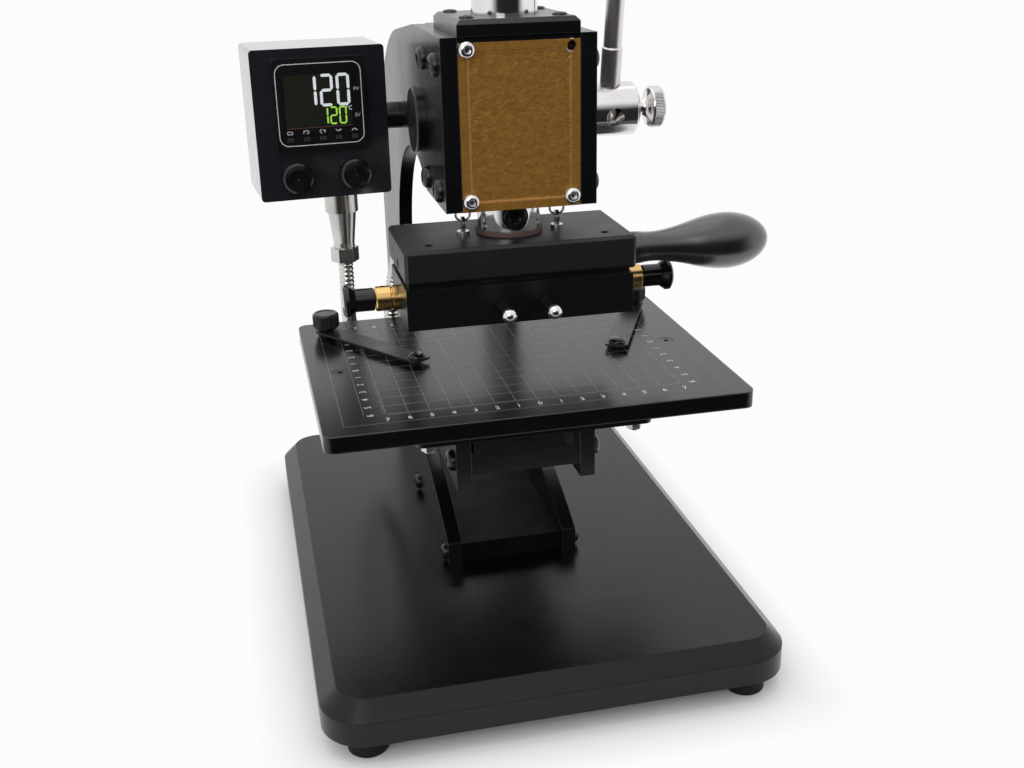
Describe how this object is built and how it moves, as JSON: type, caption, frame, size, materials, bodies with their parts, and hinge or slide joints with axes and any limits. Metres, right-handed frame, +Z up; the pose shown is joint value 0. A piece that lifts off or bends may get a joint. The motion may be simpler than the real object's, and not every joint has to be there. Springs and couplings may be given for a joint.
{
  "type": "hot foil stamping machine",
  "caption": "Bench hot foil stamping press: C frame, rack and pinion ram with side lever, heated head with pear handle, sliding gauge table with hold-down arms and a temperature control box.",
  "frame": {"origin": "centre of the base plate, at the level of the feet's undersides", "axes": "+Z up, +X to the right seen from the front, -Y towards the user; the frame's symmetry plane is x = 0"},
  "size_m": [0.2414, 0.32, 0.4872],
  "materials": {
    "satin_black": "satin anodised",
    "base_black": "fine satin powder coat",
    "table_black": "satin anodised with a white printed grid",
    "rubber": "matte",
    "bronze": "turned",
    "brass_plate": "cast, hammered ground",
    "bright_brass": "turned, bright",
    "chrome": "polished",
    "steel": "bright",
    "blued_steel": "satin blued",
    "black_oxide": "black oxide",
    "box_black": "satin powder coat",
    "panel_black": "fine grain",
    "screen_glass": "dark gloss",
    "handle_black": "satin to gloss",
    "nickel": "satin nickel",
    "hose_steel": "ribbed, bright",
    "fibre": "pressed fibre"
  },
  "bodies": {
    "frame": {"base_plate": "base_black", "rubber_feet": "rubber", "left_cheek": "satin_black", "right_cheek": "satin_black", "foot_block": "satin_black", "anvil_block": "satin_black", "head_block": "satin_black", "head_cap": "satin_black", "ram_bushes": "bronze", "pinion_bushes": "bronze", "pinion_cover": "satin_black", "nameplate": "brass_plate", "button_screws": "chrome", "cheek_bolts": "black_oxide", "spring_pins": "steel", "gib_strip": "blued_steel", "controller_box": "box_black", "controller_back": "box_black", "panel_instrument": "panel_black", "display_window": "screen_glass", "box_post": "satin_black", "hose_gland": "nickel", "gland_nut": "nickel", "power_inlet": "panel_black", "return_springs": "steel", "heater_hose": "hose_steel"},
    "press_head": {"ram": "chrome", "insulation_washer": "fibre", "heater_block": "satin_black", "heater_cartridges": "steel", "adapter_plate": "satin_black", "die_chase": "satin_black", "die_holder": "steel", "pear_handle": "handle_black", "spring_tabs": "steel", "plunger_collars": "bright_brass", "hose_fitting": "nickel"},
    "lever": {"pinion_shaft": "steel", "lever_hub": "chrome", "lever_rod": "chrome", "lever_grip": "handle_black"},
    "hub_thumbscrew": {"hub_thumbscrew": "chrome"},
    "table": {"table_plate": "table_black", "table_carriage": "satin_black", "table_screws": "steel"},
    "left_plunger": {"left_plunger": "handle_black"},
    "right_plunger": {"right_plunger": "handle_black"},
    "left_clamp_screw": {"left_clamp_screw": "black_oxide"},
    "right_clamp_screw": {"right_clamp_screw": "black_oxide"},
    "left_hold_arm": {"left_hold_arm": "blued_steel"},
    "right_hold_arm": {"right_hold_arm": "blued_steel"},
    "left_hold_knob": {"left_hold_knob": "black_oxide"},
    "right_hold_knob": {"right_hold_knob": "black_oxide"},
    "key_1": {"key_1": "panel_black"},
    "key_2": {"key_2": "panel_black"},
    "key_3": {"key_3": "panel_black"},
    "key_4": {"key_4": "panel_black"},
    "key_5": {"key_5": "panel_black"},
    "left_button": {"left_button": "handle_black"},
    "right_button": {"right_button": "handle_black"}
  },
  "joints": [
    {"name": "head_slide", "type": "slide", "parent": "frame", "child": "press_head", "axis": [0, 0, -1], "range_m": [0, 0.023], "stiffness_N_per_m": 1200, "springref_m": -0.05, "deforming": ["return_springs", "heater_hose"]},
    {"name": "lever_turn", "type": "hinge", "parent": "frame", "child": "lever", "pos_m": [0, -0.026, 0.2635], "axis": [1, 0, 0], "range_deg": [0, 88]},
    {"name": "thumbscrew_turn", "type": "hinge", "parent": "lever", "child": "hub_thumbscrew", "pos_m": [0, -0.026, 0.2635], "axis": [1, 0, 0], "continuous": true},
    {"name": "left_plunger_pull", "type": "slide", "parent": "press_head", "child": "left_plunger", "axis": [-1, 0, 0], "range_m": [0, 0.005], "stiffness_N_per_m": 800, "springref_m": -0.004},
    {"name": "right_plunger_pull", "type": "slide", "parent": "press_head", "child": "right_plunger", "axis": [1, 0, 0], "range_m": [0, 0.005], "stiffness_N_per_m": 800, "springref_m": -0.004},
    {"name": "left_clamp_turn", "type": "hinge", "parent": "press_head", "child": "left_clamp_screw", "pos_m": [-0.0106, -0.055, 0.185], "axis": [0, 1, 0], "continuous": true},
    {"name": "right_clamp_turn", "type": "hinge", "parent": "press_head", "child": "right_clamp_screw", "pos_m": [0.0106, -0.055, 0.185], "axis": [0, 1, 0], "continuous": true},
    {"name": "table_slide", "type": "slide", "parent": "frame", "child": "table", "axis": [0, -1, 0], "range_m": [0, 0.05]},
    {"name": "left_arm_swing", "type": "hinge", "parent": "table", "child": "left_hold_arm", "pos_m": [-0.086, 0.014, 0.148], "axis": [0, 0, 1], "range_deg": [-35, 55]},
    {"name": "right_arm_swing", "type": "hinge", "parent": "table", "child": "right_hold_arm", "pos_m": [0.086, 0.014, 0.148], "axis": [0, 0, 1], "range_deg": [-65, 25]},
    {"name": "left_knob_turn", "type": "hinge", "parent": "table", "child": "left_hold_knob", "pos_m": [-0.086, 0.014, 0.15], "axis": [0, 0, 1], "continuous": true},
    {"name": "right_knob_turn", "type": "hinge", "parent": "table", "child": "right_hold_knob", "pos_m": [0.086, 0.014, 0.15], "axis": [0, 0, 1], "continuous": true},
    {"name": "key_1_press", "type": "slide", "parent": "frame", "child": "key_1", "axis": [-0.0872, 0.9962, 0], "range_m": [0, 0.0005], "stiffness_N_per_m": 400, "springref_m": -0.0005},
    {"name": "key_2_press", "type": "slide", "parent": "frame", "child": "key_2", "axis": [-0.0872, 0.9962, 0], "range_m": [0, 0.0005], "stiffness_N_per_m": 400, "springref_m": -0.0005},
    {"name": "key_3_press", "type": "slide", "parent": "frame", "child": "key_3", "axis": [-0.0872, 0.9962, 0], "range_m": [0, 0.0005], "stiffness_N_per_m": 400, "springref_m": -0.0005},
    {"name": "key_4_press", "type": "slide", "parent": "frame", "child": "key_4", "axis": [-0.0872, 0.9962, 0], "range_m": [0, 0.0005], "stiffness_N_per_m": 400, "springref_m": -0.0005},
    {"name": "key_5_press", "type": "slide", "parent": "frame", "child": "key_5", "axis": [-0.0872, 0.9962, 0], "range_m": [0, 0.0005], "stiffness_N_per_m": 400, "springref_m": -0.0005},
    {"name": "left_button_press", "type": "slide", "parent": "frame", "child": "left_button", "axis": [-0.0872, 0.9962, 0], "range_m": [0, 0.002], "stiffness_N_per_m": 500, "springref_m": -0.001},
    {"name": "right_button_press", "type": "slide", "parent": "frame", "child": "right_button", "axis": [-0.0872, 0.9962, 0], "range_m": [0, 0.002], "stiffness_N_per_m": 500, "springref_m": -0.001}
  ],
  "couplings": [
    {"joint": "lever_turn", "follows": "head_slide", "rad_per_m": 66.667}
  ]
}
